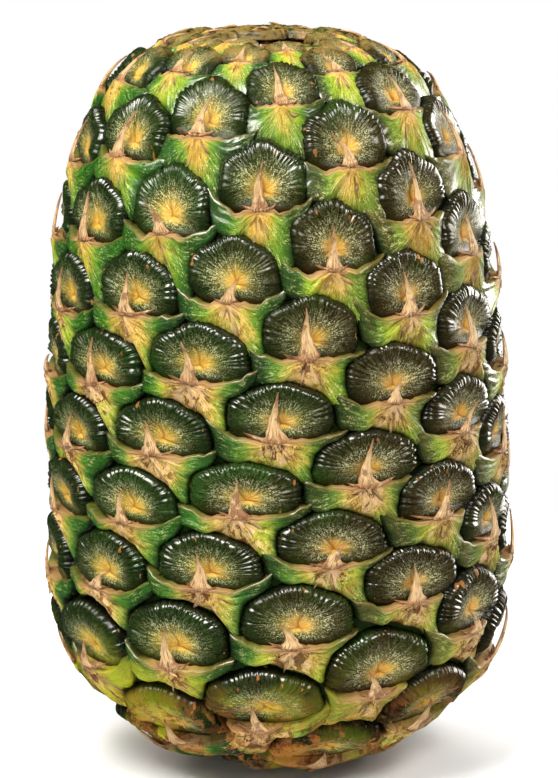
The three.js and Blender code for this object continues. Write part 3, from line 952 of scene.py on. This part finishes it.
def tip_material():
    n = Nodes("dry_tip")
    along, aside, seed = (n.attribute(name) for name in ("along", "aside", "seed"))
    place = n.place()
    fibre = n.noise(n.join(n.times(aside, 5.0), n.times(along, 1.6), seed), 2.0, 4, 0.65)
    patchy = n.noise(place, 330.0, 3)
    base = n.ramp(along, colours(
        (0.0, 182, 132, 84), (0.2, 224, 186, 134), (0.6, 232, 194, 138), (1.0, 170, 114, 62)))
    base = n.tint(base, (132, 78, 44), n.span(fibre, 0.5, 0.6), 0.8)
    base = n.tint(base, (240, 216, 172), n.span(fibre, 0.46, 0.36), 0.75)
    base = n.tint(base, (124, 70, 40), n.span(patchy, 0.54, 0.64), 0.7)
    base = n.tint(base, (160, 96, 56), n.span(n.math("ABSOLUTE", aside), 0.75, 1.0), 0.45)
    bump = n.bump(fibre, 0.9, 0.0009, n.bump(n.noise(place, 1300.0, 3), 0.3, 0.0003))
    return n.finish(base, n.span(patchy, 0.3, 0.7, 0.5, 0.75), bump, Specular_IOR_Level=0.35)


def body_material():
    n = Nodes("groove_skin")
    place = n.place()
    z = n.split(place)[2]
    base = n.mix(n.noise(place, 300.0, 3), srgb(16, 30, 9), srgb(48, 74, 22))
    top = n.span(z, 0.186, 0.191)
    base = n.tint(base, (132, 122, 60), top, n.span(n.noise(place, 200.0, 3), 0.35, 0.6))
    foot = n.mix(n.noise(place, 240.0, 4), srgb(120, 84, 40), srgb(176, 140, 70))
    base = n.mix(n.span(z, 0.012, 0.002), base, foot)
    bump = n.bump(n.noise(place, 600.0, 4), 0.6, 0.0008)
    return n.finish(base, 0.6, bump, Specular_IOR_Level=0.1)


def scar_material():
    n = Nodes("scar")
    place = n.place()
    x, y, _ = n.split(place)
    radius = n.math("SQRT", n.math("ADD", n.times(x, x), n.times(y, y)))
    rings = n.noise(n.join(n.times(radius, 3.0), x, y), 260.0, 4, 0.6)
    cells = {"Vector": n.scaled(place, (1.0, 1.0, 0.15)), "Scale": 900.0}
    fibres = n.node("ShaderNodeTexVoronoi", cells).outputs["Distance"]
    base = n.mix(rings, srgb(168, 132, 78), srgb(222, 196, 138))
    base = n.tint(base, (120, 84, 48), n.span(fibres, 0.2, 0.5))
    base = n.tint(base, (124, 84, 46), n.span(radius, 0.0095, 0.0125))
    bump = n.bump(fibres, 0.8, 0.0006, n.bump(n.noise(place, 500.0, 4), 0.5, 0.0006))
    return n.finish(base, 0.75, bump, Specular_IOR_Level=0.3)


# The grooves' skin, the scars and what stands in them

SKIN_H = 0.9
SKIN_COLUMNS = 120
SCAR_WALL = 3.5
STEM_COLUMNS = 72
STUBS = 46
STUB_SPACING = 1.8
STUB_STEPS = (0.0, 0.35, 0.7, 0.92, 1.0)


def single_piece(name, rings, material, slot):
    piece = Piece(name)
    piece.add(*tube(rings))
    piece.build(material, slot)


def body_skin(material):
    """The barrel between the eyes, with the hollow that the crown left."""
    arcs = [np.linspace(1.0, 24, 16), np.linspace(27, ARC_END - 22, 70), ARC_END - np.linspace(20, 1, 24)]
    s = np.concatenate(arcs)
    height = SKIN_H - (SCAR_DEPTH + SKIN_H) * ease((SCAR_RADIUS - (ARC_END - s)) / SCAR_WALL)
    S, A = np.meshgrid(s, np.linspace(0, 2 * np.pi, SKIN_COLUMNS, endpoint=False), indexing="ij")
    H = height[:, None] + 0.25 * np.sin(9 * A + S * 0.4) * (height[:, None] > -3)
    single_piece("groove_skin", raised(A, S, H), material, "rind")


def stem_cut(material):
    """The cut stem, with a slightly uneven rim and a fibrous face on the floor."""
    radius = np.array([3.0, 6.0, 9.0, 11.0, 12.2, 12.9, STEM_RADIUS, 12.6, 11.0])[:, None]
    z = np.array([0.0, 0.1, 0.0, 0.12, 0.0, 0.4, 1.6, 4.5, 9.0])[:, None]
    a = np.linspace(0, 2 * np.pi, STEM_COLUMNS, endpoint=False)[None, :]
    ragged = radius * (1 + (radius > 10) * (0.012 * np.sin(11 * a) + 0.01 * np.sin(23 * a + 1)))
    rings = np.stack([ragged * np.cos(a), ragged * np.sin(a), z + 0 * a], axis=-1)
    single_piece("stem_cut", rings * MM, material, "scar")


def crown_stubs(material):
    """Bases of the crown's leaves, left in a spiral where the crown was twisted off."""
    rng = np.random.default_rng(SEED + 1)
    piece = Piece("crown_stubs")
    up, a = np.meshgrid(STUB_STEPS, np.radians(np.arange(0, 360, 45)), indexing="ij")
    for i in range(STUBS):
        radius = STUB_SPACING * math.sqrt(i + 0.6)
        azimuth = i * DIVERGENCE
        width = (1.2 + 0.16 * radius) * (1 - 0.35 * up ** 2) * np.cos(a)
        thick = (0.55 - 0.3 * up) * np.sin(a) - 0.10 * width ** 2
        tall = 3.6 + 1.6 * rng.random() - 0.05 * radius
        jag = 0.45 * (rng.random(a.shape) - 0.5) * (up > 0.8)
        outward = radius + thick + 0.10 * radius * up
        x = width * math.cos(azimuth) + outward * math.sin(azimuth) - TOP_LEAN
        y = width * math.sin(azimuth) - outward * math.cos(azimuth)
        z = TOP_Z - SCAR_DEPTH + tall * up + jag - 1.0
        piece.add(*tube(np.stack([x, y, z], axis=-1) * MM))
    piece.build(material, "scar")


LOWER_THIRD = 0.33
UPPER_THIRD = 0.66
HALF = 0.5


def build_fruit():
    cushion, bract, tip = cushion_material(), bract_material(), tip_material()
    skin, scar = body_material(), scar_material()
    body_skin(skin)
    stem_cut(scar)
    crown_stubs(scar)
    thirds = {name: Piece("cushions_" + name) for name in ("lower", "middle", "upper")}
    halves = {name: Piece("bracts_" + name) for name in ("lower", "upper")}
    tips, flakes = Piece("bract_tips"), Piece("dry_flakes")
    for eye in EYES:
        share = eye["index"] / len(EYES)
        third = "lower" if share < LOWER_THIRD else "middle" if share < UPPER_THIRD else "upper"
        thirds[third].add(*cushion_patch(eye))
        halves["lower" if share < HALF else "upper"].add(*bract_patch(eye))
        tips.add(*tip_patch(eye))
        for k in range(FLAKES):
            flakes.add(*flake_patch(eye, k))
    for piece in thirds.values():
        piece.build(cushion, "rind")
    for piece in halves.values():
        piece.build(bract, "bract")
    tips.build(tip, "dry_tip")
    flakes.build(tip, "dry_tip")


# Camera, floor and light

PHOTO_HEIGHT = 778
CAMERA_DISTANCE = 1.2
CAMERA_TILT = 0.2
PIXELS_PER_MM = 3.72
SENSOR_HEIGHT = 24.0
NEAREST = 0.05
AIM = Vector((-0.0003, 0.0, 0.1009))
LIGHT_COLOUR = (1.0, 0.97, 0.88)
LIGHT_AIM = Vector((0, 0, 0.1))
WORLD_ON_MATT = 0.27
WORLD_IN_REFLECTIONS = 0.06
TABLE_RADIUS = 0.3
TABLE_CORNERS = 160


def toward(azimuth, elevation):
    """The direction from the fruit to something at an azimuth and an elevation."""
    flat = math.cos(elevation)
    return Vector((math.sin(azimuth) * flat, -math.cos(azimuth) * flat, math.sin(elevation)))


def aimed(name, data, target, direction, distance):
    """An object that looks at a target from a distance."""
    thing = add_object(name, data)
    thing.location = target + direction * distance
    thing.rotation_euler = (-direction).to_track_quat("-Z", "Y").to_euler()
    return thing


def make_camera():
    data = bpy.data.cameras.new("camera")
    data.sensor_fit = "VERTICAL"
    data.sensor_height = SENSOR_HEIGHT
    data.lens = PIXELS_PER_MM * CAMERA_DISTANCE / MM / PHOTO_HEIGHT * SENSOR_HEIGHT
    data.clip_start = NEAREST
    bpy.context.scene.camera = aimed("camera", data, AIM, toward(0.0, CAMERA_TILT), CAMERA_DISTANCE)


def area_light(name, azimuth, elevation, distance, size, watts, glossy=True, diffuse=True):
    data = bpy.data.lights.new(name, "AREA")
    data.shape = "RECTANGLE"
    data.size, data.size_y = size
    data.energy = watts
    data.color = LIGHT_COLOUR
    direction = toward(math.radians(azimuth), math.radians(elevation))
    light = aimed(name, data, LIGHT_AIM, direction, distance)
    light.visible_glossy = glossy
    light.visible_diffuse = diffuse


def make_stage():
    """A round pale table."""
    n = Nodes("pale_table")
    cloudy = n.noise(n.place(), 9.0, 2)
    material = n.finish(n.mix(cloudy, (0.83, 0.85, 0.91), (0.86, 0.88, 0.95)), 0.8, Specular_IOR_Level=0.2)
    mesh = bpy.data.meshes.new("table")
    turns = np.linspace(0, 2 * np.pi, TABLE_CORNERS, endpoint=False)
    points = [(TABLE_RADIUS * math.cos(a), TABLE_RADIUS * math.sin(a), 0.0) for a in turns]
    mesh.from_pydata(points, [], [list(range(len(points)))])
    mesh.materials.append(material)
    table = add_object("table", mesh)
    table.visible_glossy = False


def make_world():
    """White where the camera sees it, dimmer as a light and dimmest in reflections."""
    world = bpy.data.worlds.new("studio")
    world.use_nodes = True
    nodes, links = world.node_tree.nodes, world.node_tree.links
    background = nodes["Background"]
    path = nodes.new("ShaderNodeLightPath")
    unseen = nodes.new("ShaderNodeMapRange")
    unseen.inputs["To Min"].default_value = WORLD_ON_MATT
    unseen.inputs["To Max"].default_value = WORLD_IN_REFLECTIONS
    seen = nodes.new("ShaderNodeMath")
    seen.operation = "MAXIMUM"
    links.new(path.outputs["Is Glossy Ray"], unseen.inputs["Value"])
    links.new(path.outputs["Is Camera Ray"], seen.inputs[0])
    links.new(unseen.outputs["Result"], seen.inputs[1])
    links.new(seen.outputs["Value"], background.inputs["Strength"])
    background.inputs["Color"].default_value = (1, 1, 1, 1)
    bpy.context.scene.world = world


build_fruit()
make_camera()
make_stage()
make_world()
area_light("key", -32, 50, 0.9, (0.4, 0.36), 10)
area_light("second", 38, 42, 1.0, (0.28, 0.28), 5.5)
area_light("key_glare", -50, 44, 0.9, (0.55, 0.45), 12, diffuse=False)
area_light("right_glare", 126, 8, 0.8, (0.5, 0.5), 10, diffuse=False)
area_light("low_fill", -12, 3, 0.8, (0.7, 0.2), 1.0, glossy=False)
area_light("right_fill", 110, 30, 1.0, (0.5, 0.5), 4, glossy=False)
area_light("left_fill", -115, 30, 1.0, (0.5, 0.5), 4, glossy=False)
area_light("back_fill", 180, 55, 1.0, (0.6, 0.6), 7, glossy=False)
bpy.context.scene.view_settings.view_transform = "Standard"
